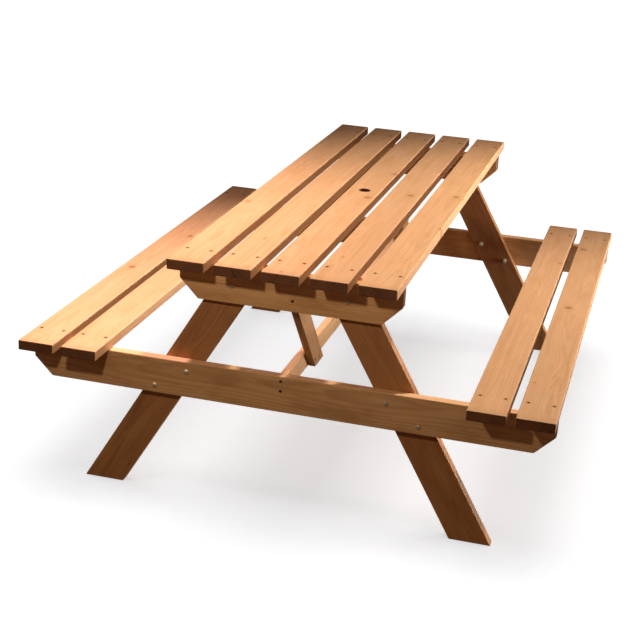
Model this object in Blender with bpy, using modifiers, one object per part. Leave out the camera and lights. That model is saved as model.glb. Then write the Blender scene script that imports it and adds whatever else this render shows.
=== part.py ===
"""Picnic table with two fixed benches, built piece by piece in metres with +Z up.

The origin is on the ground under the middle of the table. +X runs across the benches and +Y
runs along the boards, from the front end to the rear end.
"""

import math

import bmesh
import bpy

# Overall sizes
TABLE_LENGTH = 1.750
TABLE_HEIGHT = 0.700
SEAT_HEIGHT = 0.421
OVERALL_WIDTH = 1.406

# Timber sections
TIMBER_THICKNESS = 0.028
BOARD_WIDTH = 0.0975
LEG_WIDTH = 0.095
BEARER_DEPTH = 0.100
RAIL_THICKNESS = 0.020
STRETCHER_DEPTH = 0.055
BRACE_DEPTH = 0.062
EDGE_ROUND = 0.003
EDGE_SEGMENTS = 2

# Clearance left wherever two pieces touch
FIT_GAP = 0.0003

# Tabletop and benches
TOP_BOARD_COUNT = 5
TOP_GAP = 0.0254
SEAT_GAP = 0.0230
PARASOL_HOLE_RADIUS = 0.019
PARASOL_HOLE_SIDES = 28

# Cross bearers under the boards
BEARER_SETBACK = 0.092
SEAT_BEARER_LENGTH = 1.402
TOP_BEARER_LENGTH = 0.586
BEARER_CHAMFER = 0.051

# Splayed legs
LEG_LEAN = math.radians(30.4)
FOOT_OUTER_X = 0.566
LEG_TOP_CLEARANCE = 0.002

# The brace rises at this angle from the stretcher to the top bearer
BRACE_ANGLE = math.radians(47.5)
BRACE_TOE_Y = 0.549

# Machine bolts: button heads with a hexagon socket
BOLT_RADIUS = 0.004
BOLT_LENGTH = 0.070
BOLT_HEAD_RADIUS = 0.007
BOLT_HEAD_HEIGHT = 0.0044
BOLT_TIP_CHAMFER = 0.001
SOCKET_ACROSS_FLATS = 0.005
SOCKET_DEPTH = 0.0028
WASHER_RADIUS = 0.008
WASHER_THICKNESS = 0.0016
NUT_ACROSS_FLATS = 0.013
NUT_THICKNESS = 0.0068
ROUND_STEPS = 12
HOLE_SIDES = 12

# Bolt centres, as distance from the middle and height above the ground
SEAT_BOLT_PLACES = {"upper": (0.2675, 0.3645), "lower": (0.3555, 0.3142)}
TOP_BOLT_PLACE = (0.152, 0.6195)

# Countersunk wood screws
SCREW_SHANK_RADIUS = 0.0022
SCREW_HEAD_RADIUS = 0.0042
SCREW_HEAD_HEIGHT = 0.0030
SCREW_SINK = 0.0010
SCREW_SIDES = 10
BOARD_SCREW_SPREAD = 0.064
BRACE_SCREW_LENGTH = 0.035
BRACE_SCREW_PLACES = {"upper": (0.557, 0.3630), "lower": (0.516, 0.3575)}

# Heights of the screws that run through the bearers into the ends of the stretcher and braces
STRETCHER_END_SCREW_HEIGHTS = (0.3790, 0.3520)
BRACE_HEAD_SCREW_HEIGHTS = (0.6010,)

# Heights and planes worked out from the sizes above
TOP_UNDERSIDE = TABLE_HEIGHT - TIMBER_THICKNESS
SEAT_UNDERSIDE = SEAT_HEIGHT - TIMBER_THICKNESS
BEARER_OUTER_Y = TABLE_LENGTH / 2 - BEARER_SETBACK
BEARER_MIDDLE_Y = BEARER_OUTER_Y - TIMBER_THICKNESS / 2
BEARER_INNER_Y = BEARER_OUTER_Y - TIMBER_THICKNESS
LEG_MIDDLE_Y = BEARER_INNER_Y - FIT_GAP - TIMBER_THICKNESS / 2
LEG_INNER_Y = LEG_MIDDLE_Y - TIMBER_THICKNESS / 2
STRETCHER_TOP = SEAT_UNDERSIDE - FIT_GAP
STRETCHER_BOTTOM = STRETCHER_TOP - STRETCHER_DEPTH
STRETCHER_MIDDLE_X = -(FIT_GAP + RAIL_THICKNESS) / 2
BRACE_MIDDLE_X = (FIT_GAP + RAIL_THICKNESS) / 2
BRACE_FACE_X = BRACE_MIDDLE_X + RAIL_THICKNESS / 2

ENDS = {"front": -1, "rear": 1}
SIDES = {"left": -1, "right": 1}

CUT_MARGIN = 0.002
SHARP_ANGLE = math.radians(35)


def clear_scene():
    for obj in list(bpy.data.objects):
        bpy.data.objects.remove(obj, do_unlink=True)


def new_collection(name):
    collection = bpy.data.collections.new(name)
    bpy.context.scene.collection.children.link(collection)
    return collection


def new_material(name, colour, roughness, metallic=0.0):
    material = bpy.data.materials.new(name)
    material.use_nodes = True
    shader = material.node_tree.nodes["Principled BSDF"]
    shader.inputs["Base Color"].default_value = (*colour, 1.0)
    shader.inputs["Roughness"].default_value = roughness
    shader.inputs["Metallic"].default_value = metallic
    return material


def move_to(obj, collection):
    for other in list(obj.users_collection):
        other.objects.unlink(obj)
    collection.objects.link(obj)


class Table:
    """Holds the collections, the parent empty and the finishes that every piece shares."""

    def __init__(self):
        self.pieces = new_collection("picnic_table")
        self.cutters = new_collection("cutters")
        self.empty = bpy.data.objects.new("table_frame", None)
        self.pieces.objects.link(self.empty)
        self.board_wood = new_material("oiled_pine_boards", (0.72, 0.46, 0.25), 0.55)
        self.frame_wood = new_material("oiled_pine_frame", (0.42, 0.21, 0.09), 0.60)
        self.steel = new_material("zinc_plated_steel", (0.62, 0.60, 0.56), 0.35, 0.9)

    def add(self, obj, material):
        """Puts a finished piece in the table's collection, under its empty."""
        move_to(obj, self.pieces)
        obj.parent = self.empty
        obj.data.materials.clear()
        obj.data.materials.append(material)
        return obj

    def add_copy(self, name, mesh, location, rotation, material):
        return self.add(place_copy(name, mesh, location, rotation), material)

    def add_cutter(self, obj):
        move_to(obj, self.cutters)
        obj.hide_render = True
        obj.display_type = "WIRE"
        return obj


def place_copy(name, mesh, location, rotation):
    obj = bpy.data.objects.new(name, mesh)
    obj.location = location
    obj.rotation_euler = rotation
    bpy.context.scene.collection.objects.link(obj)
    return obj


def round_edges(obj):
    """Eases every arris of a piece of timber."""
    bevel = obj.modifiers.new("eased_edges", "BEVEL")
    bevel.width = EDGE_ROUND
    bevel.segments = EDGE_SEGMENTS
    bevel.limit_method = "ANGLE"


def straight_timber(name, size, location):
    """A straight length of timber, square at both ends."""
    bpy.ops.mesh.primitive_cube_add(size=1.0, location=location)
    obj = bpy.context.object
    obj.name = name
    obj.scale = size
    bpy.ops.object.transform_apply(location=False, rotation=False, scale=True)
    round_edges(obj)
    return obj


def outline_mesh(name, outline, thickness):
    """A closed slab whose flat outline lies in its local XY plane."""
    curve = bpy.data.curves.new(name, "CURVE")
    curve.dimensions = "2D"
    curve.fill_mode = "BOTH"
    curve.extrude = thickness / 2
    spline = curve.splines.new("POLY")
    spline.points.add(len(outline) - 1)
    for point, (across, up) in zip(spline.points, outline):
        point.co = (across, up, 0.0, 1.0)
    spline.use_cyclic_u = True
    helper = place_copy(name + "_outline", curve, (0, 0, 0), (0, 0, 0))
    bpy.context.view_layer.update()
    mesh = bpy.data.meshes.new_from_object(helper.evaluated_get(bpy.context.evaluated_depsgraph_get()))
    bpy.data.objects.remove(helper, do_unlink=True)
    shape = bmesh.new()
    shape.from_mesh(mesh)
    bmesh.ops.remove_doubles(shape, verts=shape.verts, dist=0.00001)
    bmesh.ops.recalc_face_normals(shape, faces=shape.faces)
    shape.to_mesh(mesh)
    shape.free()
    return mesh


def shaped_timber(name, outline, location, rotation, thickness=TIMBER_THICKNESS):
    """A piece sawn to a flat outline, from timber of the common thickness if no other is given."""
    mesh = outline_mesh(name, outline, thickness)
    obj = place_copy(name, mesh, location, rotation)
    round_edges(obj)
    return obj


def cut(obj, cutter):
    boolean = obj.modifiers.new(cutter.name, "BOOLEAN")
    boolean.operation = "DIFFERENCE"
    boolean.solver = "EXACT"
    boolean.object = cutter


def hole_cutter(table, name, radius, depth, location, rotation, sides=HOLE_SIDES):
    """A plain round drill, centred on its location, along its local Z."""
    bpy.ops.mesh.primitive_cylinder_add(
        vertices=sides, radius=radius, depth=depth, location=location, rotation=rotation
    )
    obj = bpy.context.object
    obj.name = name
    return table.add_cutter(obj)


def countersink_cutter(table, name, location, rotation):
    """A conical drill for a sunk screw head, whose mouth is at its location and faces local +Z."""
    slope = (SCREW_HEAD_RADIUS - SCREW_SHANK_RADIUS) / SCREW_HEAD_HEIGHT
    deep = SCREW_SINK + SCREW_HEAD_HEIGHT + FIT_GAP
    mouth = SCREW_HEAD_RADIUS + FIT_GAP
    profile = [
        (0.0, CUT_MARGIN),
        (mouth, CUT_MARGIN),
        (mouth, -SCREW_SINK),
        (mouth - slope * SCREW_HEAD_HEIGHT, -deep),
        (0.0, -deep),
    ]
    obj = place_copy(name, turned_mesh(name, profile, SCREW_SIDES), location, rotation)
    return table.add_cutter(obj)


def turned_mesh(name, profile, steps):
    """A solid of revolution about local Z, from a profile that runs down its outer side."""
    mesh = bpy.data.meshes.new(name)
    shape = bmesh.new()
    corners = [shape.verts.new((radius, 0.0, height)) for radius, height in profile]
    for first, second in zip(corners, corners[1:]):
        shape.edges.new((first, second))
    shape.to_mesh(mesh)
    shape.free()
    helper = place_copy(name + "_profile", mesh, (0, 0, 0), (0, 0, 0))
    screw = helper.modifiers.new("turn", "SCREW")
    screw.steps = steps
    screw.render_steps = steps
    screw.use_merge_vertices = True
    screw.merge_threshold = 0.00005
    return taken_mesh(helper)


def taken_mesh(helper):
    """The evaluated mesh of a helper object, shaded smooth on its round faces."""
    bpy.context.view_layer.update()
    mesh = bpy.data.meshes.new_from_object(helper.evaluated_get(bpy.context.evaluated_depsgraph_get()))
    bpy.data.objects.remove(helper, do_unlink=True)
    mesh.shade_smooth()
    mesh.set_sharp_from_angle(angle=SHARP_ANGLE)
    return mesh


# Boards


def board_centres(count, gap, middle):
    """X centres of a row of boards about a given middle."""
    pitch = BOARD_WIDTH + gap
    return [middle + (index - (count - 1) / 2) * pitch for index in range(count)]


def add_board(table, name, x, top):
    """One board with four sunk screw seats, two over each bearer."""
    size = (BOARD_WIDTH, TABLE_LENGTH, TIMBER_THICKNESS)
    board = straight_timber(name, size, (x, 0.0, top - TIMBER_THICKNESS / 2))
    table.add(board, table.board_wood)
    for end, way in ENDS.items():
        for side, across in SIDES.items():
            place = (x + across * BOARD_SCREW_SPREAD / 2, way * BEARER_MIDDLE_Y, top)
            cut(board, countersink_cutter(table, f"{name}_{end}_{side}_seat", place, (0, 0, 0)))
    return board


def add_tabletop(table):
    centres = board_centres(TOP_BOARD_COUNT, TOP_GAP, 0.0)
    boards = [
        add_board(table, f"top_board_{number}", x, TABLE_HEIGHT) for number, x in enumerate(centres, 1)
    ]
    hole = hole_cutter(
        table,
        "parasol_hole",
        PARASOL_HOLE_RADIUS,
        2 * TIMBER_THICKNESS,
        (0.0, 0.0, TABLE_HEIGHT - TIMBER_THICKNESS / 2),
        (0, 0, 0),
        PARASOL_HOLE_SIDES,
    )
    cut(boards[TOP_BOARD_COUNT // 2], hole)


def add_benches(table):
    bench_width = 2 * BOARD_WIDTH + SEAT_GAP
    for side, across in SIDES.items():
        middle = across * (OVERALL_WIDTH - bench_width) / 2
        inner, outer = sorted(board_centres(2, SEAT_GAP, middle), key=abs)
        add_board(table, f"seat_board_{side}_inner", inner, SEAT_HEIGHT)
        add_board(table, f"seat_board_{side}_outer", outer, SEAT_HEIGHT)


# End frames


def bearer_outline(length):
    """Flat on top, with both lower corners sawn off at 45 degrees."""
    half = length / 2
    return [
        (-half, BEARER_DEPTH),
        (-half, BEARER_CHAMFER),
        (-half + BEARER_CHAMFER, 0.0),
        (half - BEARER_CHAMFER, 0.0),
        (half, BEARER_CHAMFER),
        (half, BEARER_DEPTH),
    ]


def add_bearer(table, name, length, top, way):
    place = (0.0, way * BEARER_MIDDLE_Y, top - BEARER_DEPTH)
    bearer = shaped_timber(name, bearer_outline(length), place, (math.pi / 2, 0, 0))
    return table.add(bearer, table.frame_wood)


def cut_rail_screw_seats(table, bearer, x, heights, way):
    """Sunk seats in a bearer's outer face for the screws that hold the end of a rail."""
    outward = (-way * math.pi / 2, 0, 0)
    for number, height in enumerate(heights, 1):
        place = (x, way * BEARER_OUTER_Y, height)
        cut(bearer, countersink_cutter(table, f"{bearer.name}_rail_seat_{number}", place, outward))


def leg_outline(across):
    """A slanting leg, sawn level at the foot and at the head."""
    height = TOP_UNDERSIDE - LEG_TOP_CLEARANCE
    drift = height * math.tan(LEG_LEAN)
    sawn_width = LEG_WIDTH / math.cos(LEG_LEAN)
    inner = FOOT_OUTER_X - sawn_width
    corners = [(FOOT_OUTER_X, 0.0), (FOOT_OUTER_X - drift, height), (inner - drift, height), (inner, 0.0)]
    return [(across * x, z) for x, z in corners]


def add_leg(table, name, across, way):
    leg = shaped_timber(name, leg_outline(across), (0.0, way * LEG_MIDDLE_Y, 0.0), (math.pi / 2, 0, 0))
    return table.add(leg, table.frame_wood)


def bolt_places():
    """Name, distance from the middle and height of each bolt through one leg."""
    places = [("seat_" + level, *place) for level, place in SEAT_BOLT_PLACES.items()]
    return places + [("top", *TOP_BOLT_PLACE)]


def bolt_mesh():
    rise = 8
    head = [
        (
            BOLT_HEAD_RADIUS * math.sin(step / rise * math.pi / 2),
            BOLT_HEAD_HEIGHT * math.cos(step / rise * math.pi / 2),
        )
        for step in range(0, rise + 1, 2)
    ]
    shank = [
        (BOLT_RADIUS, 0.0),
        (BOLT_RADIUS, -BOLT_LENGTH + BOLT_TIP_CHAMFER),
        (BOLT_RADIUS - BOLT_TIP_CHAMFER, -BOLT_LENGTH),
        (0.0, -BOLT_LENGTH),
    ]
    blank = place_copy("bolt_blank", turned_mesh("bolt", head + shank, ROUND_STEPS), (0, 0, 0), (0, 0, 0))
    bpy.ops.mesh.primitive_cylinder_add(
        vertices=6,
        radius=SOCKET_ACROSS_FLATS / math.sqrt(3),
        depth=2 * SOCKET_DEPTH,
        location=(0, 0, BOLT_HEAD_HEIGHT),
    )
    socket = bpy.context.object
    cut(blank, socket)
    mesh = taken_mesh(blank)
    bpy.data.objects.remove(socket, do_unlink=True)
    return mesh


def washer_mesh():
    inner = BOLT_RADIUS + FIT_GAP
    half = WASHER_THICKNESS / 2
    profile = [(inner, half), (WASHER_RADIUS, half), (WASHER_RADIUS, -half), (inner, -half), (inner, half)]
    return turned_mesh("washer", profile, ROUND_STEPS)


def nut_mesh():
    """A hexagon nut with its corners eased and a clear bore."""
    bpy.ops.mesh.primitive_cylinder_add(
        vertices=6, radius=NUT_ACROSS_FLATS / math.sqrt(3), depth=NUT_THICKNESS, location=(0, 0, 0)
    )
    blank = bpy.context.object
    bpy.ops.mesh.primitive_cylinder_add(
        vertices=HOLE_SIDES, radius=BOLT_RADIUS + FIT_GAP, depth=2 * NUT_THICKNESS, location=(0, 0, 0)
    )
    bore = bpy.context.object
    cut(blank, bore)
    mesh = taken_mesh(blank)
    bpy.data.objects.remove(bore, do_unlink=True)
    return mesh


def add_bolt_stack(table, meshes, label, x, z, way):
    """One bolt from the outer face of a bearer, with its washer and nut against the leg."""
    outward = (-way * math.pi / 2, 0, 0)
    stack = {
        "bolt": BEARER_OUTER_Y + FIT_GAP,
        "washer": LEG_INNER_Y - FIT_GAP - WASHER_THICKNESS / 2,
        "nut": LEG_INNER_Y - 2 * FIT_GAP - WASHER_THICKNESS - NUT_THICKNESS / 2,
    }
    for piece, y in stack.items():
        table.add_copy(f"{piece}_{label}", meshes[piece], (x, way * y, z), outward, table.steel)


def add_end_frame(table, meshes, end, way):
    """The two bearers and the two legs of one end, bolted together."""
    seat_bearer = add_bearer(
        table, f"seat_bearer_{end}", SEAT_BEARER_LENGTH, SEAT_UNDERSIDE - FIT_GAP, way
    )
    top_bearer = add_bearer(table, f"top_bearer_{end}", TOP_BEARER_LENGTH, TOP_UNDERSIDE - FIT_GAP, way)
    cut_rail_screw_seats(table, seat_bearer, STRETCHER_MIDDLE_X, STRETCHER_END_SCREW_HEIGHTS, way)
    cut_rail_screw_seats(table, top_bearer, BRACE_MIDDLE_X, BRACE_HEAD_SCREW_HEIGHTS, way)
    for side, across in SIDES.items():
        leg = add_leg(table, f"leg_{end}_{side}", across, way)
        for place, distance, height in bolt_places():
            label = f"{end}_{side}_{place}"
            x = across * distance
            drill = hole_cutter(
                table,
                f"drill_{label}",
                BOLT_RADIUS + FIT_GAP,
                4 * TIMBER_THICKNESS,
                (x, way * BEARER_INNER_Y, height),
                (math.pi / 2, 0, 0),
            )
            cut(leg, drill)
            cut(top_bearer if place == "top" else seat_bearer, drill)
            add_bolt_stack(table, meshes, label, x, height, way)


# Stretcher and braces


def add_stretcher(table):
    """The rail that ties the two seat bearers together under the tabletop."""
    size = (RAIL_THICKNESS, 2 * (BEARER_INNER_Y - FIT_GAP), STRETCHER_DEPTH)
    place = (STRETCHER_MIDDLE_X, 0.0, (STRETCHER_TOP + STRETCHER_BOTTOM) / 2)
    return table.add(straight_timber("stretcher", size, place), table.frame_wood)


def brace_outline(way):
    """Sawn level at the toe and upright where it meets the top bearer."""
    slope = math.tan(BRACE_ANGLE)
    toe_length = BRACE_DEPTH / math.sin(BRACE_ANGLE)
    head_y = BEARER_INNER_Y - FIT_GAP
    rise = (head_y - BRACE_TOE_Y) * slope
    head_height = BRACE_DEPTH / math.cos(BRACE_ANGLE)
    corners = [
        (BRACE_TOE_Y - toe_length, STRETCHER_BOTTOM),
        (BRACE_TOE_Y, STRETCHER_BOTTOM),
        (head_y, STRETCHER_BOTTOM + rise),
        (head_y, STRETCHER_BOTTOM + rise + head_height),
    ]
    return [(way * y, z) for y, z in corners]


def screw_mesh():
    profile = [
        (0.0, 0.0),
        (SCREW_HEAD_RADIUS, 0.0),
        (SCREW_SHANK_RADIUS, -SCREW_HEAD_HEIGHT),
        (SCREW_SHANK_RADIUS, -BRACE_SCREW_LENGTH + 2 * SCREW_SHANK_RADIUS),
        (0.0, -BRACE_SCREW_LENGTH),
    ]
    return turned_mesh("screw", profile, SCREW_SIDES)


def add_brace(table, screw, stretcher, end, way):
    place = (BRACE_MIDDLE_X, 0.0, 0.0)
    turn = (math.pi / 2, 0, math.pi / 2)
    brace = shaped_timber(f"brace_{end}", brace_outline(way), place, turn, RAIL_THICKNESS)
    table.add(brace, table.frame_wood)
    facing_right = (0, math.pi / 2, 0)
    for level, (y, z) in BRACE_SCREW_PLACES.items():
        label = f"brace_screw_{end}_{level}"
        seat = (BRACE_FACE_X, way * y, z)
        cut(brace, countersink_cutter(table, f"{label}_seat", seat, facing_right))
        depth = BRACE_SCREW_LENGTH + SCREW_SINK + FIT_GAP
        pilot = hole_cutter(
            table,
            f"{label}_pilot",
            SCREW_SHANK_RADIUS + FIT_GAP,
            depth,
            (BRACE_FACE_X - depth / 2, way * y, z),
            facing_right,
            SCREW_SIDES,
        )
        cut(brace, pilot)
        cut(stretcher, pilot)
        table.add_copy(label, screw, (BRACE_FACE_X - SCREW_SINK, way * y, z), facing_right, table.steel)


def main():
    clear_scene()
    table = Table()
    add_tabletop(table)
    add_benches(table)
    meshes = {"bolt": bolt_mesh(), "washer": washer_mesh(), "nut": nut_mesh()}
    for end, way in ENDS.items():
        add_end_frame(table, meshes, end, way)
    stretcher = add_stretcher(table)
    screw = screw_mesh()
    for end, way in ENDS.items():
        add_brace(table, screw, stretcher, end, way)


main()
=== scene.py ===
import math
import random

import bmesh
import bpy
from mathutils import Matrix, Vector


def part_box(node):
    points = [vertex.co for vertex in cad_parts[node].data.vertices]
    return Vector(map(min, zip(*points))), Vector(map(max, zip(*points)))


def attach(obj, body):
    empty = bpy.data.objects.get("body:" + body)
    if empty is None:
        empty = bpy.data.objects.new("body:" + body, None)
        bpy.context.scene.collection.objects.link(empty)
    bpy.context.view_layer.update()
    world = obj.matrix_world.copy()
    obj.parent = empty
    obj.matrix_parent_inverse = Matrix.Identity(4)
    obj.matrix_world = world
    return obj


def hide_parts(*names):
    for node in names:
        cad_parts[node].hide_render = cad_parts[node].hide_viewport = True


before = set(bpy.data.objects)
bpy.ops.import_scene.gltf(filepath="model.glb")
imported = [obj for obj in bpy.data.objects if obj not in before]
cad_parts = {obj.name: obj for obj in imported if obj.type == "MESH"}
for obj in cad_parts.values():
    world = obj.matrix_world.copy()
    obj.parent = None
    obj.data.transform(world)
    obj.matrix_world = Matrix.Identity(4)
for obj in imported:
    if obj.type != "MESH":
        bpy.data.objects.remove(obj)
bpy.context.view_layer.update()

bl_info = {
    "name": "Picnic table finish",
    "version": (1, 0, 0),
    "blender": (4, 5, 0),
    "location": "3D View > Sidebar > Table",
    "description": "Gives the picnic table its timber, its fasteners and a studio",
    "category": "Object",
}

ENDS = {"front": -1, "rear": 1}
SIDES = {"left": -1, "right": 1}
LEVELS = ("upper", "lower")

# Places that the frame's boxes don't tell
BOARD_SCREW_SPREAD = 0.064
SCREW_SINK = 0.0010
RAIL_END_SCREW_HEIGHTS = {"stretcher": (0.3790, 0.3520), "brace_head": (0.6010,)}
LEG_LEAN = math.radians(30.4)
BRACE_ANGLE = math.radians(47.5)
LEG_WIDTH = 0.095
BRACE_WIDTH = 0.062
TIMBER_THICKNESS = 0.028

# Share of the common timber colour that each kind of board shows; the right bench's lower share is painted
# shade
TOP_TONE = 1.00
LEFT_BENCH_TONE = 1.00
RIGHT_BENCH_SHADED_TONE = 0.82
TONE_SPREAD = 0.05

# Painted light and shade: what the red, green and blue of each kind of frame timber are multiplied by,
# lighter for bearers and stretcher, darker for legs and brace
FRAME_LIGHT_AND_SHADE = {
    "seat_bearer": (1.30, 1.36, 1.42),
    "top_bearer": (1.32, 1.38, 1.36),
    "leg": (0.82, 0.68, 0.58),
    "brace": (0.78, 0.74, 0.70),
    "stretcher": (1.15, 1.20, 1.25),
}

# Strength of the cloudy patches, and of the painted light that makes the level faces of bearers and stretcher
# paler
BOARD_MOTTLE = 0.32
FRAME_MOTTLE = 0.60
LEVEL_PAINTED_LIGHT = 0.8
PAINTED_LIGHT_KINDS = ("seat_bearer", "stretcher")

# Facets round steel, round a screw, and round one turn of thread
ROUND_SIDES = 40
SCREW_SIDES = 24
THREAD_STEPS = 20

RUST = (0.16, 0.085, 0.04)


def span(node):
    """A node's lowest and highest corners as vectors."""
    low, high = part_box(node)
    return Vector(low), Vector(high)


def middle(node):
    low, high = span(node)
    return (low + high) / 2


def half_size(node):
    low, high = span(node)
    return (high - low) / 2


# Settings


class TimberSettings(bpy.types.PropertyGroup):
    """Colours and grain of the planed pine."""

    board_colour: bpy.props.FloatVectorProperty(
        name="Board colour", description="Pale wood of the boards", subtype="COLOR", size=3,
        default=(0.75, 0.43, 0.235), min=0, max=1,
    )
    board_grain_colour: bpy.props.FloatVectorProperty(
        name="Board grain colour", description="Late wood lines in the boards", subtype="COLOR", size=3,
        default=(0.58, 0.28, 0.115), min=0, max=1,
    )
    frame_colour: bpy.props.FloatVectorProperty(
        name="Frame colour", description="Pale wood of legs, bearers and rails", subtype="COLOR", size=3,
        default=(0.60, 0.335, 0.155), min=0, max=1,
    )
    frame_grain_colour: bpy.props.FloatVectorProperty(
        name="Frame grain colour", description="Late wood lines in the frame", subtype="COLOR", size=3,
        default=(0.34, 0.150, 0.055), min=0, max=1,
    )
    knot_colour: bpy.props.FloatVectorProperty(
        name="Knot colour", description="Heart of a knot", subtype="COLOR", size=3,
        default=(0.20, 0.070, 0.025), min=0, max=1,
    )
    end_grain_colour: bpy.props.FloatVectorProperty(
        name="End grain colour", description="Oil-soaked sawn ends", subtype="COLOR", size=3,
        default=(0.15, 0.058, 0.024), min=0, max=1,
    )
    ring_spacing: bpy.props.FloatProperty(
        name="Ring spacing", description="Distance between growth rings", default=0.0055,
        min=0.001, max=0.02, unit="LENGTH",
    )
    grain_contrast: bpy.props.FloatProperty(
        name="Grain contrast", description="Strength of the growth rings", default=0.34,
        min=0, max=1, subtype="FACTOR",
    )
    knot_radius: bpy.props.FloatProperty(
        name="Largest knot", description="Radius of the largest knots", default=0.0095,
        min=0.001, max=0.03, unit="LENGTH",
    )
    roughness: bpy.props.FloatProperty(
        name="Roughness", description="Dullness of the oiled faces", default=0.52,
        min=0, max=1, subtype="FACTOR",
    )


class HardwareSettings(bpy.types.PropertyGroup):
    """Sizes and colour of the zinc-plated fasteners."""

    steel_colour: bpy.props.FloatVectorProperty(
        name="Steel colour", description="Zinc plating", subtype="COLOR", size=3,
        default=(0.66, 0.58, 0.46), min=0, max=1,
    )
    screw_colour: bpy.props.FloatVectorProperty(
        name="Screw colour", description="Yellow-passivated wood screws gone dull", subtype="COLOR", size=3,
        default=(0.20, 0.135, 0.075), min=0, max=1,
    )
    bolt_radius: bpy.props.FloatProperty(
        name="Bolt radius", description="Over the thread", default=0.0040, min=0.002, max=0.01,
        unit="LENGTH",
    )
    bolt_length: bpy.props.FloatProperty(
        name="Bolt length", description="Under the head", default=0.070, min=0.02, max=0.2,
        unit="LENGTH",
    )
    head_radius: bpy.props.FloatProperty(
        name="Bolt head radius", description="Button head", default=0.0070, min=0.004, max=0.02,
        unit="LENGTH",
    )
    head_height: bpy.props.FloatProperty(
        name="Bolt head height", description="Button head", default=0.0044, min=0.001, max=0.02,
        unit="LENGTH",
    )
    socket_width: bpy.props.FloatProperty(
        name="Socket width", description="Across the flats", default=0.0050, min=0.002, max=0.01,
        unit="LENGTH",
    )
    nut_width: bpy.props.FloatProperty(
        name="Nut width", description="Across the flats", default=0.0130, min=0.006, max=0.03, unit="LENGTH",
    )
    screw_radius: bpy.props.FloatProperty(
        name="Screw head radius", description="Countersunk head", default=0.0042, min=0.002, max=0.01,
        unit="LENGTH",
    )
    screw_length: bpy.props.FloatProperty(
        name="Screw length", description="Wood screw, head included", default=0.050, min=0.03, max=0.2,
        unit="LENGTH",
    )
    brace_screw_length: bpy.props.FloatProperty(
        name="Brace screw length", description="Shorter wood screw at the brace toes", default=0.035,
        min=0.03, max=0.2, unit="LENGTH",
    )


class StageSettings(bpy.types.PropertyGroup):
    """Camera, lights and floor."""

    azimuth: bpy.props.FloatProperty(
        name="Camera azimuth", description="Turned from straight in front", default=math.radians(14.33),
        subtype="ANGLE",
    )
    elevation: bpy.props.FloatProperty(
        name="Camera elevation", description="Above the horizon", default=math.radians(19.85),
        subtype="ANGLE",
    )
    roll: bpy.props.FloatProperty(
        name="Camera roll", description="About the line of sight", default=math.radians(3.29),
        subtype="ANGLE",
    )
    distance: bpy.props.FloatProperty(
        name="Camera distance", description="From the point looked at", default=4.203, unit="LENGTH",
    )
    lens: bpy.props.FloatProperty(
        name="Focal length", description="On a 36 mm wide sensor", default=80.73, min=20, max=300,
    )
    floor_colour: bpy.props.FloatVectorProperty(
        name="Floor colour", description="Plain studio floor", subtype="COLOR", size=3,
        default=(0.90, 0.90, 0.90), min=0, max=1,
    )
    floor_glow: bpy.props.FloatProperty(
        name="Floor glow", description="Light that the floor gives off evenly", default=0.60, min=0, max=2,
    )
    front_lamp: bpy.props.FloatProperty(
        name="Front lamp", description="Power of the small lamp in front", default=26.0, min=0,
        subtype="POWER",
    )
    left_lamp: bpy.props.FloatProperty(
        name="Left lamp", description="Power of the lamp above the front left", default=1120.0, min=0,
        subtype="POWER",
    )
    top_lamp: bpy.props.FloatProperty(
        name="Top lamp", description="Power of the lamp above the right bench", default=740.0, min=0,
        subtype="POWER",
    )
    side_lamp: bpy.props.FloatProperty(
        name="Side lamp", description="Power of the soft lamp at the right", default=27.0, min=0,
        subtype="POWER",
    )
    rear_lamp: bpy.props.FloatProperty(
        name="Rear lamp", description="Power of the weak lamp behind", default=15.0, min=0, subtype="POWER",
    )
    floor_sun: bpy.props.FloatProperty(
        name="Floor light", description="Even light on the floor alone", default=1.65, min=0,
    )
    ambient: bpy.props.FloatVectorProperty(
        name="Ambient", description="Warm light from all round", subtype="COLOR", size=3,
        default=(0.095, 0.057, 0.034), min=0, max=4,
    )


# Shader maths


class Value:
    """A socket that takes part in sums: an expression on values adds its Math nodes."""

    def __init__(self, finish, socket):
        self.finish = finish
        self.socket = socket

    def math(self, operation, *operands):
        node = self.finish.node("Math", {"operation": operation}, dict(enumerate(operands)))
        return self.finish.value(node)

    def __add__(self, other):
        return self.math("ADD", self, other)

    def __radd__(self, other):
        return self.math("ADD", other, self)

    def __sub__(self, other):
        return self.math("SUBTRACT", self, other)

    def __rsub__(self, other):
        return self.math("SUBTRACT", other, self)

    def __mul__(self, other):
        return self.math("MULTIPLY", self, other)

    def __rmul__(self, other):
        return self.math("MULTIPLY", other, self)

    def __truediv__(self, other):
        return self.math("DIVIDE", self, other)

    def __abs__(self):
        return self.math("ABSOLUTE", self)

    def least(self, other):
        return self.math("MINIMUM", self, other)

    def most(self, other):
        return self.math("MAXIMUM", self, other)

    def root(self):
        return self.math("SQRT", self)

    def sine(self):
        return self.math("SINE", self)

    def part(self):
        return self.math("FRACT", self)

    def above(self, limit):
        return self.math("GREATER_THAN", self, limit)

    def rise(self, start, end):
        """Goes smoothly from 0 at start to 1 at end."""
        node = self.finish.node(
            "MapRange",
            {"interpolation_type": "SMOOTHSTEP"},
            {"Value": self, "From Min": start, "From Max": end},
        )
        return self.finish.value(node)

    def fall(self, start, end):
        """Goes smoothly from 1 at start to 0 at end."""
        return 1 - self.rise(start, end)


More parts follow.
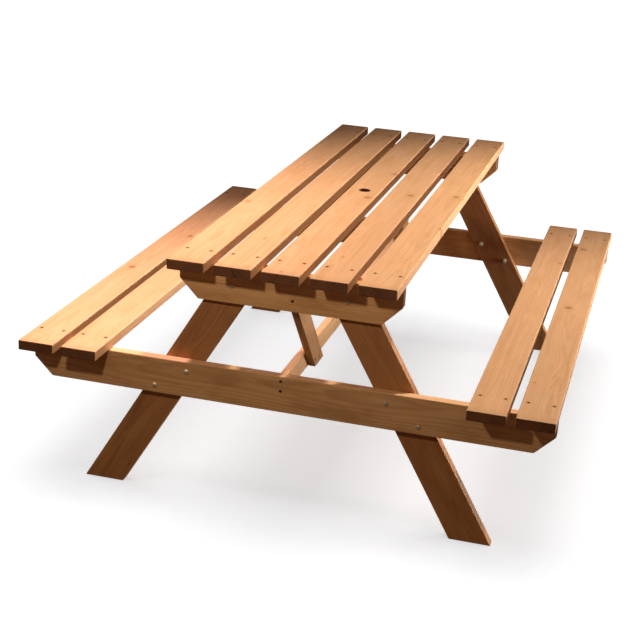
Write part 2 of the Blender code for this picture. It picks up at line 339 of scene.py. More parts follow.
class Finish:
    """One material and the nodes that make it."""

    def __init__(self, name):
        self.material = bpy.data.materials.new(name)
        self.material.use_nodes = True
        self.tree = self.material.node_tree
        self.shader = self.tree.nodes["Principled BSDF"]

    def node(self, kind, settings=None, sockets=None):
        """Any node: its type, its settings, then the values or links of its sockets."""
        node = self.tree.nodes.new("ShaderNode" + kind)
        for name, setting in (settings or {}).items():
            setattr(node, name, setting)
        for key, given in (sockets or {}).items():
            self.feed(node.inputs[key], given)
        return node

    def feed(self, socket, given):
        if isinstance(given, Value):
            self.tree.links.new(given.socket, socket)
        else:
            socket.default_value = given

    def value(self, node, output=0):
        return Value(self, node.outputs[output])

    def object_place(self):
        return self.value(self.node("TexCoord"), "Object")

    def facing(self, axis):
        """How far the surface faces along an axis, whichever way round."""
        normal = self.value(self.node("TexCoord"), "Normal")
        node = self.node("VectorMath", {"operation": "DOT_PRODUCT"}, {0: normal, 1: tuple(axis)})
        return abs(self.value(node, "Value"))

    def scaled(self, vector, scale, shift=(0, 0, 0)):
        """A vector times a scale, plus a shift."""
        node = self.node(
            "VectorMath", {"operation": "MULTIPLY_ADD"}, {0: vector, 1: tuple(scale), 2: tuple(shift)}
        )
        return self.value(node)

    def split(self, vector):
        node = self.node("SeparateXYZ", None, {0: vector})
        return tuple(self.value(node, axis) for axis in range(3))

    def joined(self, x, y, z=0.0):
        return self.value(self.node("CombineXYZ", None, {0: x, 1: y, 2: z}))

    def noise(self, vector, detail=2.0, roughness=0.5):
        node = self.node(
            "TexNoise",
            {"noise_dimensions": "3D"},
            {"Vector": vector, "Scale": 1.0, "Detail": detail, "Roughness": roughness},
        )
        return self.value(node, 0)

    def mixed(self, factor, first, second):
        node = self.node(
            "Mix",
            {"data_type": "RGBA", "blend_type": "MIX", "clamp_factor": True},
            {0: factor, 6: colour(first), 7: colour(second)},
        )
        return self.value(node, 2)

    def bumped(self, height, strength, distance):
        node = self.node("Bump", None, {"Height": height, "Strength": strength, "Distance": distance})
        self.tree.links.new(node.outputs[0], self.shader.inputs["Normal"])

    def surface(self, **sockets):
        for name, given in sockets.items():
            self.feed(self.shader.inputs[name.replace("_", " ")], given)
        return self.material


def colour(given):
    """A colour with its alpha, or a socket as it is."""
    return given if isinstance(given, Value) else (*given[:3], 1.0)


def toned(shade, tone):
    return tuple(channel * tone for channel in shade)


# Timber


class Timber:
    """How one piece of timber lies: its middle, its turn, its half sizes and what is screwed into it."""

    def __init__(self, node, turn, half, square_ends=True, screws=None, shift=(0, 0, 0)):
        self.node = node
        self.centre = middle(node) + Vector(shift)
        self.turn = turn
        self.half = half
        self.square_ends = square_ends
        self.screws = screws

    def grain_axis(self):
        return self.turn.to_matrix() @ Vector((1, 0, 0))


def knots(finish, along, across, seed, largest):
    """Distance from the nearest knot in knot radii, the same drawn out along the grain, and its radius."""
    pitch_along = 0.33
    pitch_across = 0.13
    shift = (seed * 3.71, seed * 1.93, 0.0)
    place = finish.scaled(finish.joined(along, across), (1 / pitch_along, 1 / pitch_across, 0.0), shift)
    cells = finish.node("TexVoronoi", {"voronoi_dimensions": "2D"}, {"Vector": place, "Scale": 1.0})
    offset = finish.node(
        "VectorMath", {"operation": "SUBTRACT"}, {0: place, 1: finish.value(cells, "Position")}
    )
    off_along, off_across, _ = finish.split(finish.value(offset))
    off_along = off_along * pitch_along
    off_across = off_across * pitch_across
    chance, size, _ = finish.split(finish.value(cells, "Color"))
    radius = (0.25 + 0.75 * size) * largest * chance.above(0.52) + 0.00001
    wobble = finish.noise(finish.scaled(place, (40, 16, 1)), 1.0) * 0.5 + 0.75
    round_distance = (off_along * off_along + off_across * off_across).root() * wobble / radius
    drawn = off_along * 0.38
    long_distance = (drawn * drawn + off_across * off_across).root() / radius
    return round_distance, long_distance, radius


def timber_finish(settings, timber, name, pale, dark, seed, mottle, level_painted_light=0.0):
    """Solid pine: growth rings about a wandering pith, so that faces, edges and ends agree."""
    finish = Finish(name)
    draw = random.Random(seed)
    mapping = finish.node(
        "Mapping",
        {"vector_type": "TEXTURE"},
        {0: finish.object_place(), "Location": timber.centre, "Rotation": timber.turn},
    )
    local = finish.value(mapping)
    along, across, deep = finish.split(local)
    shift = (draw.uniform(-40, 40), draw.uniform(-40, 40), draw.uniform(-40, 40))

    # Growth rings
    pith_across = draw.uniform(-0.035, 0.035)
    pith_deep = draw.choice((-1, 1)) * draw.uniform(0.022, 0.060)
    wander = finish.noise(finish.scaled(local, (1.9, 0.6, 0.6), shift), 1.0)
    sway = finish.noise(finish.scaled(local, (1.3, 0.6, 0.6), shift[::-1]), 1.0)
    ring_across = across - pith_across + (wander - 0.5) * 0.060
    ring_deep = deep - pith_deep + (sway - 0.5) * 0.070
    ring_radius = (ring_across * ring_across + ring_deep * ring_deep).root()
    ripple = (finish.noise(finish.scaled(local, (7, 55, 55), shift), 2.0) - 0.5) * 0.0035
    near_knot, knot_flow, knot_size = knots(finish, along, across, seed, settings.knot_radius)
    flow = knot_flow.fall(0.4, 3.2) * knot_size * 1.5
    rings = ((ring_radius + ripple + flow) / settings.ring_spacing).part()
    late_wood = rings.rise(0.25, 0.88) * rings.fall(0.90, 1.0)

    # Long fibres, broad tone and resin dashes
    fibres = finish.noise(finish.scaled(local, (5, 420, 420), shift), 3.0, 0.6)
    streaks = finish.noise(finish.scaled(local, (2.2, 75, 75), shift), 2.0)
    patches = finish.noise(finish.scaled(local, (5.5, 17, 17), shift), 3.0, 0.6)
    resin = finish.noise(finish.scaled(local, (32, 700, 700), shift), 1.0).rise(0.66, 0.74)

    contrast = settings.grain_contrast
    base = finish.mixed(late_wood * contrast * (0.6 + 0.8 * streaks), pale, dark)
    base = finish.mixed(streaks.rise(0.48, 0.78) * 0.42, base, toned(dark, 1.05))
    base = finish.mixed(patches.rise(0.45, 0.75) * mottle, base, dark)
    base = finish.mixed(patches.fall(0.25, 0.45) * mottle, base, toned(pale, 1.18))
    base = finish.mixed((fibres - 0.35) * 0.32, base, toned(dark, 0.85))
    base = finish.mixed(resin * 0.20, base, settings.knot_colour)

    # Knots: a dark heart with its own rings, and a resin-dark rim
    heart = near_knot.fall(0.82, 1.02)
    rim = near_knot.rise(0.72, 0.98) * near_knot.fall(1.0, 1.35)
    halo = knot_flow.fall(0.9, 2.6)
    heart_rings = (near_knot * 17.0).sine() * 0.25 + 0.45
    knot_shade = finish.mixed(heart_rings, toned(dark, 0.95), settings.knot_colour)
    base = finish.mixed(halo * 0.30, base, dark)
    base = finish.mixed(heart * 0.85, base, knot_shade)
    base = finish.mixed(rim * 0.65, base, settings.knot_colour)

    # Sawn ends soak up more oil and show the rings as arcs
    sawn = finish.facing(timber.grain_axis()).rise(0.55, 0.75)
    turn_angle = ring_deep.math("ARCTAN2", ring_deep, ring_across)
    fan = finish.joined(turn_angle * 9.0, ring_radius * 12.0, shift[0])
    checks = finish.noise(fan, 1.0).rise(0.66, 0.70)
    sawn_colour = settings.end_grain_colour
    end_shade = finish.mixed(late_wood * 0.55, sawn_colour, toned(sawn_colour, 0.5))
    end_shade = finish.mixed(patches.rise(0.3, 0.7) * 0.5, end_shade, toned(sawn_colour, 1.5))
    end_shade = finish.mixed(checks * 0.6, end_shade, toned(sawn_colour, 0.25))

    # Arrises are paler, partly wear from handling and partly painted highlight, and dirt keeps to the sawn
    # ends and the screws
    side_gap = timber.half[1] - abs(across)
    face_gap = timber.half[2] - abs(deep)
    arris = side_gap.most(face_gap)
    end_gap = timber.half[0] - abs(along)
    if timber.square_ends:
        arris = arris.least(end_gap.most(face_gap)).least(end_gap.most(side_gap))
    wear_and_edge_highlight = arris.fall(0.0010, 0.0055) * (0.25 + 0.75 * streaks)
    base = finish.mixed(wear_and_edge_highlight * 0.42, base, toned(pale, 1.22))
    if timber.square_ends:
        base = finish.mixed(end_gap.fall(0.002, 0.045) * patches * 0.55, base, toned(dark, 0.80))
    if timber.screws:
        screw_along = abs(along) - timber.screws[0]
        screw_across = abs(across) - timber.screws[1]
        screw_gap = (screw_along * screw_along + screw_across * screw_across).root()
        stain = screw_gap.fall(0.0045, 0.0120) * (0.35 + 0.65 * streaks)
        base = finish.mixed(stain * 0.35, base, toned(dark, 0.55))

    # Painted light: level faces are paler, the lower ones as well as the upper
    if level_painted_light:
        level = finish.facing((0, 0, 1)).rise(0.6, 0.9)
        base = finish.mixed(level * level_painted_light, base, toned(settings.board_colour, 1.15))

    base = finish.mixed(sawn, base, end_shade)
    height = late_wood * 0.45 + fibres * 0.55 - resin * 0.6 + heart * 0.5 - rim * 0.8 - checks * sawn * 2.0
    finish.bumped(height, 0.35, 0.0006)
    dullness = settings.roughness + (patches - 0.5) * 0.22 + (fibres - 0.5) * 0.20 - late_wood * 0.06
    dullness = dullness - heart * 0.10 + sawn * 0.25 - wear_and_edge_highlight * 0.08
    return finish.surface(Base_Color=base, Roughness=dullness, IOR=1.45, Specular_IOR_Level=0.32)


def show_finish(node, material):
    """Puts a material in the slots of a CAD node's object."""
    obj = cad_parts[node]
    if not obj.material_slots:
        obj.data.materials.append(material)
    for slot in obj.material_slots:
        slot.material = material


def board_nodes():
    """Name and tone of every board, the right bench darkened by painted shade."""
    tops = [(f"top_board_{number}", TOP_TONE) for number in range(1, 6)]
    benches = [
        (f"seat_board_{side}_{place}", tone)
        for side, tone in (("left", LEFT_BENCH_TONE), ("right", RIGHT_BENCH_SHADED_TONE))
        for place in ("outer", "inner")
    ]
    return tops + benches


def frame_timbers():
    """Every leg, bearer and rail, with the turn that lays its grain along its length."""
    along_y = Matrix.Rotation(math.pi / 2, 3, "Z")
    upright = Matrix.Rotation(math.pi / 2, 3, "X")
    timbers = []
    for end, way in ENDS.items():
        for kind in ("seat_bearer", "top_bearer"):
            low, high = span(f"{kind}_{end}")
            half = ((high.x - low.x) / 2, (high.z - low.z) / 2, TIMBER_THICKNESS / 2)
            timbers.append(Timber(f"{kind}_{end}", upright.to_euler(), half, False))
        for side, across in SIDES.items():
            lean = Matrix.Rotation(math.pi / 2 + across * LEG_LEAN, 3, "Z")
            half = (1.0, LEG_WIDTH / 2, TIMBER_THICKNESS / 2)
            timbers.append(Timber(f"leg_{end}_{side}", (upright @ lean).to_euler(), half, False))
        rise = along_y @ upright @ Matrix.Rotation(way * BRACE_ANGLE, 3, "Z")
        half = (1.0, BRACE_WIDTH / 2, half_size(f"brace_{end}").x)
        quarter_toe = BRACE_WIDTH / math.sin(BRACE_ANGLE) / 4
        quarter_head = BRACE_WIDTH / math.cos(BRACE_ANGLE) / 4
        shift = (0, way * quarter_toe, -quarter_head)
        timbers.append(Timber(f"brace_{end}", rise.to_euler(), half, False, shift=shift))
    half = half_size("stretcher")
    timbers.append(Timber("stretcher", (along_y @ upright).to_euler(), (half.y, half.z, half.x)))
    return timbers


class TABLE_OT_boards(bpy.types.Operator):
    """Gives every board of the top and the benches its own length of pine"""

    bl_idname = "table.boards"
    bl_label = "Finish boards"

    def execute(self, context):
        settings = context.scene.table_timber
        along_y = Matrix.Rotation(math.pi / 2, 3, "Z").to_euler()
        screws = (abs(middle("top_bearer_front").y), BOARD_SCREW_SPREAD / 2)
        for number, (node, tone) in enumerate(board_nodes()):
            half = half_size(node)
            timber = Timber(node, along_y, (half.y, half.x, half.z), screws=screws)
            seed = 11 + number
            tone = tone * (1 + random.Random(seed).uniform(-TONE_SPREAD, TONE_SPREAD))
            pale = toned(settings.board_colour, tone)
            dark = toned(settings.board_grain_colour, tone)
            finished = timber_finish(settings, timber, f"pine_{node}", pale, dark, seed, BOARD_MOTTLE)
            show_finish(node, finished)
        return {"FINISHED"}


class TABLE_OT_frame(bpy.types.Operator):
    """Gives every leg, bearer, brace and the stretcher its own length of pine"""

    bl_idname = "table.frame"
    bl_label = "Finish frame"

    def execute(self, context):
        settings = context.scene.table_timber
        for number, timber in enumerate(frame_timbers()):
            seed = 51 + number
            tone = 1 + random.Random(seed).uniform(-TONE_SPREAD, TONE_SPREAD)
            kind = next(kind for kind in FRAME_LIGHT_AND_SHADE if timber.node.startswith(kind))
            # Painted light and shade: each kind's colours are made lighter or darker
            pale, dark = (
                tuple(channel * tint for channel, tint in zip(toned(shade, tone), FRAME_LIGHT_AND_SHADE[kind]))
                for shade in (settings.frame_colour, settings.frame_grain_colour)
            )
            # Bearers and stretcher get painted light on their level faces
            painted_light = LEVEL_PAINTED_LIGHT if kind in PAINTED_LIGHT_KINDS else 0.0
            name = f"pine_{timber.node}"
            finished = timber_finish(settings, timber, name, pale, dark, seed, FRAME_MOTTLE, painted_light)
            show_finish(timber.node, finished)
        return {"FINISHED"}


# Steel


def steel_finish(name, shade, roughness, metallic):
    """Plated steel, dulled and spotted, with darker clouds at random."""
    finish = Finish(name)
    place = finish.object_place()
    clouds = finish.noise(finish.scaled(place, (210, 210, 210)), 3.0, 0.6)
    spots = finish.noise(finish.scaled(place, (900, 900, 900), (3, 5, 7)), 2.0)
    scuffs = finish.noise(finish.scaled(place, (350, 350, 2400)), 2.0)
    base = finish.mixed(clouds.rise(0.35, 0.70) * 0.40, shade, toned(shade, 0.55))
    base = finish.mixed(spots.rise(0.62, 0.70) * 0.50, base, RUST)
    finish.bumped(clouds * 0.5 + scuffs * 0.3 - spots.rise(0.62, 0.70) * 0.5, 0.25, 0.0002)
    dullness = roughness + (clouds - 0.5) * 0.3 + spots.rise(0.62, 0.70) * 0.3
    return finish.surface(Base_Color=base, Roughness=dullness, Metallic=metallic)


def only(obj):
    """Makes one object the selected and active one."""
    bpy.ops.object.select_all(action="DESELECT")
    obj.select_set(True)
    bpy.context.view_layer.objects.active = obj


def cylinder(name, sides, radius, low, high):
    """A closed cylinder about Z between two heights."""
    bpy.ops.object.select_all(action="DESELECT")
    bpy.ops.mesh.primitive_cylinder_add(
        vertices=sides, radius=radius, depth=high - low, location=(0, 0, (low + high) / 2)
    )
    obj = bpy.context.object
    obj.name = name
    bpy.ops.object.transform_apply(location=True, rotation=True, scale=True)
    return obj


def pick_faces(obj, test):
    """In edit mode, selects the faces that pass a test and nothing else."""
    bpy.ops.mesh.select_mode(type="FACE")
    bpy.ops.mesh.select_all(action="DESELECT")
    shape = bmesh.from_edit_mesh(obj.data)
    for face in shape.faces:
        face.select_set(test(face))
    bmesh.update_edit_mesh(obj.data)


def draw_out(rise, scale):
    """Extrudes the picked cap along Z and scales its rim about the Z axis."""
    bpy.ops.mesh.extrude_region_move(TRANSFORM_OT_translate={"value": (0, 0, rise)})
    bpy.ops.transform.resize(value=(scale, scale, 1), center_override=(0, 0, 0))


def apply_modifier(obj, kind, **settings):
    only(obj)
    modifier = obj.modifiers.new(kind.lower(), kind)
    for name, setting in settings.items():
        setattr(modifier, name, setting)
    bpy.ops.object.modifier_apply(modifier=modifier.name)


def carve(obj, cutter, operation="DIFFERENCE"):
    """Cuts with another object, which is then removed."""
    apply_modifier(obj, "BOOLEAN", operation=operation, solver="EXACT", object=cutter)
    bpy.data.objects.remove(cutter, do_unlink=True)


def merge(*objects):
    only(objects[0])
    for obj in objects[1:]:
        obj.select_set(True)
    bpy.ops.object.join()
    return bpy.context.object


def thread(name, core, crest, pitch, low, high):
    """A closed V-shaped rib that winds round a shank from one height to another."""
    turns = max(1, round((high - low) / pitch) - 1)
    bpy.ops.object.select_all(action="DESELECT")
    bpy.ops.mesh.primitive_circle_add(vertices=3, radius=1.0, fill_type="NOTHING", location=(0, 0, 0))
    obj = bpy.context.object
    obj.name = name
    bpy.ops.object.mode_set(mode="EDIT")
    bpy.ops.mesh.select_all(action="SELECT")
    depth = (crest - core) * 1.35
    bpy.ops.transform.resize(value=(pitch * 0.46 / math.sin(math.pi / 3), depth / 1.5, 1))
    quarter = math.pi / 2
    bpy.ops.transform.rotate(value=quarter, orient_axis="Z", center_override=(0, 0, 0))
    bpy.ops.transform.rotate(value=quarter, orient_axis="X", center_override=(0, 0, 0))
    bpy.ops.object.mode_set(mode="OBJECT")
    corners = [vertex.co for vertex in obj.data.vertices]
    outward = 1 if max(co.x for co in corners) > -min(co.x for co in corners) else -1
    obj.data.transform(Matrix.Diagonal((outward, 1, 1, 1)))
    reach = max(vertex.co.x for vertex in obj.data.vertices)
    obj.data.transform(Matrix.Translation((crest - reach, 0, low + pitch / 2)))
    apply_modifier(
        obj, "SCREW", axis="Z", angle=2 * math.pi, screw_offset=pitch, iterations=turns,
        steps=THREAD_STEPS, render_steps=THREAD_STEPS, use_smooth_shade=False,
    )
    bpy.ops.object.mode_set(mode="EDIT")
    bpy.ops.mesh.select_all(action="SELECT")
    bpy.ops.mesh.fill_holes(sides=3)
    bpy.ops.mesh.select_all(action="SELECT")
    bpy.ops.mesh.normals_make_consistent(inside=False)
    bpy.ops.object.mode_set(mode="OBJECT")
    return obj


def smooth(obj):
    """Smooth round faces and crisp corners."""
    only(obj)
    bpy.ops.object.shade_smooth_by_angle(angle=math.radians(32))


def bolt_model(settings):
    """A button-head bolt whose head underside is at height 0 and whose tip points down."""
    radius = settings.bolt_radius
    head_radius = settings.head_radius
    head_height = settings.head_height
    thread_length = 0.024
    pitch = 0.00125
    core = radius - 0.61 * pitch
    tip_chamfer = 0.0010
    runout = 0.0012
    flange = head_height * 0.12
    dome_height = head_height - flange
    dome_angle = math.radians(62)
    socket_depth = 0.0028
    bolt = cylinder("bolt_model", ROUND_SIDES, radius, -settings.bolt_length + thread_length, 0.0)
    bpy.ops.object.mode_set(mode="EDIT")
    pick_faces(bolt, lambda face: face.normal.z > 0.9)
    draw_out(0.0, head_radius / radius)
    draw_out(flange, 1.0)
    reach = head_radius
    risen = 0.0
    dome_steps = 7
    for step in range(1, dome_steps + 1):
        angle = step / dome_steps * dome_angle
        next_reach = head_radius * math.cos(angle)
        rise = dome_height * math.sin(angle) / math.sin(dome_angle)
        draw_out(rise - risen, next_reach / reach)
        reach = next_reach
        risen = rise
    pick_faces(bolt, lambda face: face.normal.z < -0.9 and face.calc_center_median().z < -0.01)
    draw_out(-runout, core / radius)
    draw_out(-thread_length + runout + tip_chamfer, 1.0)
    draw_out(-tip_chamfer, 0.72)
    bpy.ops.object.mode_set(mode="OBJECT")
    socket_radius = settings.socket_width / math.sqrt(3)
    socket = cylinder("socket", 6, socket_radius, head_height - socket_depth, head_height + 0.001)
    bpy.ops.object.mode_set(mode="EDIT")
    pick_faces(socket, lambda face: face.normal.z < -0.9)
    draw_out(-0.0005, 0.35)
    bpy.ops.object.mode_set(mode="OBJECT")
    carve(bolt, socket)
    low = -settings.bolt_length + tip_chamfer
    rib = thread("rib", core, radius, pitch, low, -settings.bolt_length + thread_length)
    bolt = merge(bolt, rib)
    smooth(bolt)
    return bolt


def washer_model(settings):
    """A flat washer about height 0, bored and with eased rims."""
    low, high = span("washer_front_left_top")
    thickness = high.y - low.y
    outer = (high.x - low.x) / 2
    washer = cylinder("washer_model", ROUND_SIDES, outer, -thickness / 2, thickness / 2)
    bpy.ops.object.mode_set(mode="EDIT")
    pick_faces(washer, lambda face: abs(face.normal.z) > 0.9)
    bpy.ops.mesh.inset(thickness=outer - settings.bolt_radius - 0.0003)
    bpy.ops.mesh.bridge_edge_loops()
    bpy.ops.mesh.select_all(action="SELECT")
    bpy.ops.mesh.normals_make_consistent(inside=False)
    bpy.ops.object.mode_set(mode="OBJECT")
    apply_modifier(washer, "BEVEL", width=0.0002, segments=2, limit_method="ANGLE")
    smooth(washer)
    return washer


def nut_model(settings):
    """A hexagon nut about height 0 with turned corners and a bored, eased mouth."""
    low, high = span("nut_front_left_top")
    thickness = high.y - low.y
    corner = settings.nut_width / math.sqrt(3)
    nut = cylinder("nut_model", 6, corner, -thickness / 2, thickness / 2)
    chamfer = 0.0010
    flat = thickness / 2 - chamfer
    turned = cylinder("turned", ROUND_SIDES, corner * 1.001, -flat, flat)
    bpy.ops.object.mode_set(mode="EDIT")
    for way in (-1, 1):
        pick_faces(turned, lambda face: face.normal.z * way > 0.9)
        draw_out(way * chamfer * 1.02, 0.80)
    bpy.ops.object.mode_set(mode="OBJECT")
    carve(nut, turned, "INTERSECT")
    bore = settings.bolt_radius + 0.0002
    mouth = 0.0006
    drill = cylinder("drill", ROUND_SIDES, bore, -thickness / 2 + mouth, thickness / 2 - mouth)
    bpy.ops.object.mode_set(mode="EDIT")
    for way in (-1, 1):
        pick_faces(drill, lambda face: face.normal.z * way > 0.9)
        draw_out(way * mouth * 1.3, (bore + mouth * 1.3) / bore)
    bpy.ops.object.mode_set(mode="OBJECT")
    carve(nut, drill)
    smooth(nut)
    return nut


def screw_model(settings, length):
    """A countersunk wood screw whose head top is at height 0, with a six-lobed drive."""
    head = settings.screw_radius
    shank = 0.0022
    core = 0.0016
    rim = 0.0003
    head_height = 0.0030
    plain_length = 0.016
    shoulder = 0.0008
    point = 0.0050
    thread_start = 0.021
    drive_depth = 0.0017
    screw = cylinder("screw_model", SCREW_SIDES, head, -rim, 0.0)
    bpy.ops.object.mode_set(mode="EDIT")
    pick_faces(screw, lambda face: face.normal.z < -0.9)
    draw_out(-(head_height - rim), shank / head)
    draw_out(-plain_length, 1.0)
    draw_out(-shoulder, core / shank)
    draw_out(-(length - head_height - plain_length - shoulder - point), 1.0)
    draw_out(-point, 0.08)
    bpy.ops.object.mode_set(mode="OBJECT")
    drive = cylinder("drive", SCREW_SIDES, head * 0.52, -drive_depth, 0.0010)
    bpy.ops.object.mode_set(mode="EDIT")
    bpy.ops.mesh.select_mode(type="VERT")
    bpy.ops.mesh.select_all(action="DESELECT")
    shape = bmesh.from_edit_mesh(drive.data)
    for corner in shape.verts:
        sixths = math.atan2(corner.co.y, corner.co.x) / (math.pi / 3)
        corner.select_set(abs(sixths - round(sixths)) > 0.45)
    bmesh.update_edit_mesh(drive.data)
    bpy.ops.transform.resize(value=(0.62, 0.62, 1), center_override=(0, 0, 0))
    bpy.ops.object.mode_set(mode="OBJECT")
    carve(screw, drive)
    rib = thread("rib", core, shank, 0.0024, -length + point, -thread_start)
    screw = merge(screw, rib)
    smooth(screw)
    return screw


def place_copies(model, places, material):
    """Copies a model, each copy with its own mesh, with its place and turn in that mesh."""
    for name, (place, turn, stands_for) in places.items():
        mesh = model.data.copy()
        mesh.name = name
        mesh.transform(Matrix.Translation(place) @ turn.to_4x4())
        mesh.materials.clear()
        mesh.materials.append(material)
        piece = bpy.data.objects.new(name, mesh)
        bpy.context.scene.collection.objects.link(piece)
        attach(piece, "root")
        if stands_for:
            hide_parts(stands_for)
    bpy.data.objects.remove(model, do_unlink=True)


def facing_turn(direction, spin=0.0):
    """The turn that points local Z in a direction, after a spin about it."""
    return Vector(direction).to_track_quat("Z", "Y").to_matrix() @ Matrix.Rotation(spin, 3, "Z")


def bolt_labels():
    for end, way in ENDS.items():
        for side in SIDES:
            for place in ("seat_upper", "seat_lower", "top"):
                yield f"{end}_{side}_{place}", way


class TABLE_OT_bolts(bpy.types.Operator):
    """Puts detailed machine bolts, washers and nuts where the plain ones stand"""

    bl_idname = "table.bolts"
    bl_label = "Bolts, washers and nuts"

    def execute(self, context):
        settings = context.scene.table_hardware
        steel = steel_finish("zinc_plate", tuple(settings.steel_colour), 0.48, 0.45)
        draw = random.Random(7)
        bolts = {}
        washers = {}
        nuts = {}
        for label, way in bolt_labels():
            outward = (0, way, 0)
            low, high = span(f"bolt_{label}")
            outer = high.y if way > 0 else low.y
            seat = Vector(((low.x + high.x) / 2, outer - way * settings.head_height, (low.z + high.z) / 2))
            turn = facing_turn(outward, draw.uniform(0, math.pi))
            bolts[f"machine_bolt_{label}"] = (seat, turn, f"bolt_{label}")
            turn = facing_turn(outward, draw.uniform(0, math.pi))
            washers[f"flat_washer_{label}"] = (middle(f"washer_{label}"), turn, f"washer_{label}")
            nuts[f"hex_nut_{label}"] = (middle(f"nut_{label}"), facing_turn(outward), f"nut_{label}")
        place_copies(bolt_model(settings), bolts, steel)
        place_copies(washer_model(settings), washers, steel)
        place_copies(nut_model(settings), nuts, steel)
        return {"FINISHED"}


class TABLE_OT_screws(bpy.types.Operator):
    """Puts a wood screw in every sunk seat of the boards, bearers and braces"""

    bl_idname = "table.screws"
    bl_label = "Wood screws"

    def execute(self, context):
        settings = context.scene.table_hardware
        dull = steel_finish("dull_screw_steel", tuple(settings.screw_colour), 0.50, 0.85)
        draw = random.Random(23)
        screws = {}
        brace_screws = {}
        for node, _ in board_nodes():
            low, high = span(node)
            for end in ENDS:
                for side, across in SIDES.items():
                    x = (low.x + high.x) / 2 + across * BOARD_SCREW_SPREAD / 2
                    place = Vector((x, middle(f"top_bearer_{end}").y, high.z - SCREW_SINK))
                    turn = facing_turn((0, 0, 1), draw.uniform(0, math.pi))
                    screws[f"screw_{node}_{end}_{side}"] = (place, turn, None)
        for end, way in ENDS.items():
            outer = span(f"seat_bearer_{end}")[0 if way < 0 else 1].y - way * SCREW_SINK
            for rail, heights in RAIL_END_SCREW_HEIGHTS.items():
                x = middle("stretcher" if rail == "stretcher" else f"brace_{end}").x
                for number, height in enumerate(heights, 1):
                    turn = facing_turn((0, way, 0), draw.uniform(0, math.pi))
                    screws[f"screw_{rail}_{end}_{number}"] = (Vector((x, outer, height)), turn, None)
            for level in LEVELS:
                node = f"brace_screw_{end}_{level}"
                place = middle(node)
                place.x = span(node)[1].x
                turn = facing_turn((1, 0, 0), draw.uniform(0, math.pi))
                brace_screws[f"screw_brace_toe_{end}_{level}"] = (place, turn, node)
        place_copies(screw_model(settings, settings.screw_length), screws, dull)
        place_copies(screw_model(settings, settings.brace_screw_length), brace_screws, dull)
        return {"FINISHED"}


# Stage


def aim(obj, place, target):
    """Stands an object at a place, looking at a target."""
    obj.location = place
    obj.rotation_euler = (Vector(place) - Vector(target)).to_track_quat("Z", "Y").to_euler()


def new_lamp(name, kind, place, target, energy, shade=(1, 1, 1), **settings):
    data = bpy.data.lights.new(name, kind)
    data.energy = energy
    data.color = shade
    for key, setting in settings.items():
        setattr(data, key, setting)
    lamp = bpy.data.objects.new(name, data)
    bpy.context.scene.collection.objects.link(lamp)
    aim(lamp, place, target)
    return lamp


def add_floor(settings):
    """A wide pale floor that glows evenly, so that only a soft shadow darkens it."""
    bpy.ops.object.select_all(action="DESELECT")
    bpy.ops.mesh.primitive_plane_add(size=160)
    floor = bpy.context.object
    floor.name = "floor"
    finish = Finish("studio_floor")
    glow = settings.floor_glow
    shade = colour(settings.floor_colour)
    finish.surface(
        Base_Color=shade, Roughness=1.0, Emission_Color=(0.90, 0.96, 1.0, 1.0), Emission_Strength=glow
    )
    finish.shader.inputs["Specular IOR Level"].default_value = 0.0
    floor.data.materials.append(finish.material)
    floor.visible_diffuse = False
    floor.visible_glossy = False
    return floor


def add_world(settings):
    """Warm ambient light for the table, while the camera sees white behind it."""
    world = bpy.data.worlds.new("studio")
    bpy.context.scene.world = world
    world.use_nodes = True
    nodes = world.node_tree.nodes
    links = world.node_tree.links
    ambient = nodes["Background"]
    ambient.inputs[0].default_value = colour(settings.ambient)
    white = nodes.new("ShaderNodeBackground")
    white.inputs[0].default_value = (1, 1, 1, 1)
    rays = nodes.new("ShaderNodeLightPath")
    choice = nodes.new("ShaderNodeMixShader")
    links.new(rays.outputs["Is Camera Ray"], choice.inputs[0])
    links.new(ambient.outputs[0], choice.inputs[1])
    links.new(white.outputs[0], choice.inputs[2])
    links.new(choice.outputs[0], nodes["World Output"].inputs[0])


def light_only(lamp, floor, included):
    """Links a lamp to the floor alone, or to all but the floor."""
    receivers = bpy.data.collections.new(lamp.name + "_receivers")
    receivers.objects.link(floor)
    receivers.collection_objects[0].light_linking.link_state = "INCLUDE" if included else "EXCLUDE"
    lamp.light_linking.receiver_collection = receivers


def add_lamps(settings, floor):
    front_place = Vector((-0.23, -2.03, 1.39))
    heading = math.radians(7.9)
    dip = math.radians(39.3)
    front_way = Vector(
        (math.sin(heading) * math.cos(dip), math.cos(heading) * math.cos(dip), -math.sin(dip))
    )
    lamps = [
        new_lamp(
            "front_lamp", "SPOT", front_place, front_place + front_way, settings.front_lamp,
            (1.0, 0.86, 0.66), spot_size=math.radians(66), spot_blend=0.6, shadow_soft_size=0.045,
        ),
        new_lamp(
            "left_lamp", "SPOT", (-0.78, -0.66, 4.8), (-1.2, -0.64, 0.6), settings.left_lamp,
            (1.0, 0.76, 0.74), spot_size=math.radians(42.5), spot_blend=1.0, shadow_soft_size=0.16,
        ),
        new_lamp(
            "top_lamp", "SPOT", (1.0, 1.0, 4.5), (0.78, -0.92, 0.6), settings.top_lamp,
            (1.0, 0.90, 0.74), spot_size=math.radians(58), spot_blend=0.78, shadow_soft_size=0.16,
        ),
        new_lamp(
            "side_lamp", "AREA", (2.6, 0.55, 0.70), (0.2, 0.25, 0.56), settings.side_lamp,
            (1.0, 1.0, 1.0), size=1.0, spread=math.radians(95),
        ),
        new_lamp(
            "rear_lamp", "AREA", (-0.8, 4.5, 0.4), (0.0, 0.0, 0.4), settings.rear_lamp,
            (1.0, 0.9, 0.8), size=1.0,
        ),
    ]
    for lamp in lamps:
        light_only(lamp, floor, False)
    sun = new_lamp("floor_sun", "SUN", (0, 0, 5), (0.0, 0.0, 0.0), settings.floor_sun, angle=math.radians(50))
    light_only(sun, floor, True)


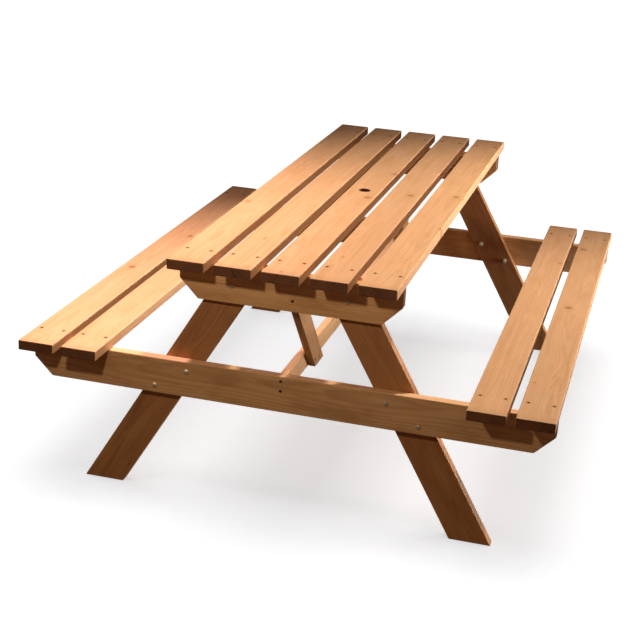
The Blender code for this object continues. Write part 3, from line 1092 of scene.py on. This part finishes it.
def add_camera(settings):
    data = bpy.data.cameras.new("camera")
    data.lens = settings.lens
    data.sensor_width = 36
    data.shift_x = -0.0031
    data.shift_y = 0.0010
    data.clip_end = 400
    camera = bpy.data.objects.new("camera", data)
    bpy.context.scene.collection.objects.link(camera)
    flat = math.cos(settings.elevation)
    away = Vector(
        (math.sin(settings.azimuth) * flat, -math.cos(settings.azimuth) * flat, math.sin(settings.elevation))
    )
    target = Vector((-0.077, -0.185, 0.350))
    turn = away.to_track_quat("Z", "Y").to_matrix() @ Matrix.Rotation(settings.roll, 3, "Z")
    camera.location = target + away * settings.distance
    camera.rotation_euler = turn.to_euler()
    bpy.context.scene.camera = camera


class TABLE_OT_stage(bpy.types.Operator):
    """Sets up the floor, the lamps and the camera"""

    bl_idname = "table.stage"
    bl_label = "Studio"

    def execute(self, context):
        settings = context.scene.table_stage
        floor = add_floor(settings)
        add_world(settings)
        add_lamps(settings, floor)
        add_camera(settings)
        context.scene.view_settings.view_transform = "Standard"
        return {"FINISHED"}


class TABLE_PT_panel(bpy.types.Panel):
    """Lists the table's finishing steps and their settings"""

    bl_idname = "TABLE_PT_panel"
    bl_label = "Picnic table"
    bl_space_type = "VIEW_3D"
    bl_region_type = "UI"
    bl_category = "Table"

    def draw(self, context):
        for operator in OPERATORS:
            self.layout.operator(operator.bl_idname)
        for group in SETTINGS:
            box = self.layout.box()
            for name in SETTINGS[group].__annotations__:
                box.prop(getattr(context.scene, group), name)


SETTINGS = {
    "table_timber": TimberSettings,
    "table_hardware": HardwareSettings,
    "table_stage": StageSettings,
}
OPERATORS = (TABLE_OT_boards, TABLE_OT_frame, TABLE_OT_bolts, TABLE_OT_screws, TABLE_OT_stage)


def register():
    for name, group in SETTINGS.items():
        bpy.utils.register_class(group)
        setattr(bpy.types.Scene, name, bpy.props.PointerProperty(type=group))
    for operator in OPERATORS:
        bpy.utils.register_class(operator)
    bpy.utils.register_class(TABLE_PT_panel)


def unregister():
    bpy.utils.unregister_class(TABLE_PT_panel)
    for operator in reversed(OPERATORS):
        bpy.utils.unregister_class(operator)
    for name, group in reversed(SETTINGS.items()):
        delattr(bpy.types.Scene, name)
        bpy.utils.unregister_class(group)


def main():
    register()
    bpy.ops.table.boards()
    bpy.ops.table.frame()
    bpy.ops.table.bolts()
    bpy.ops.table.screws()
    bpy.ops.table.stage()


if __name__ == "__main__":
    main()
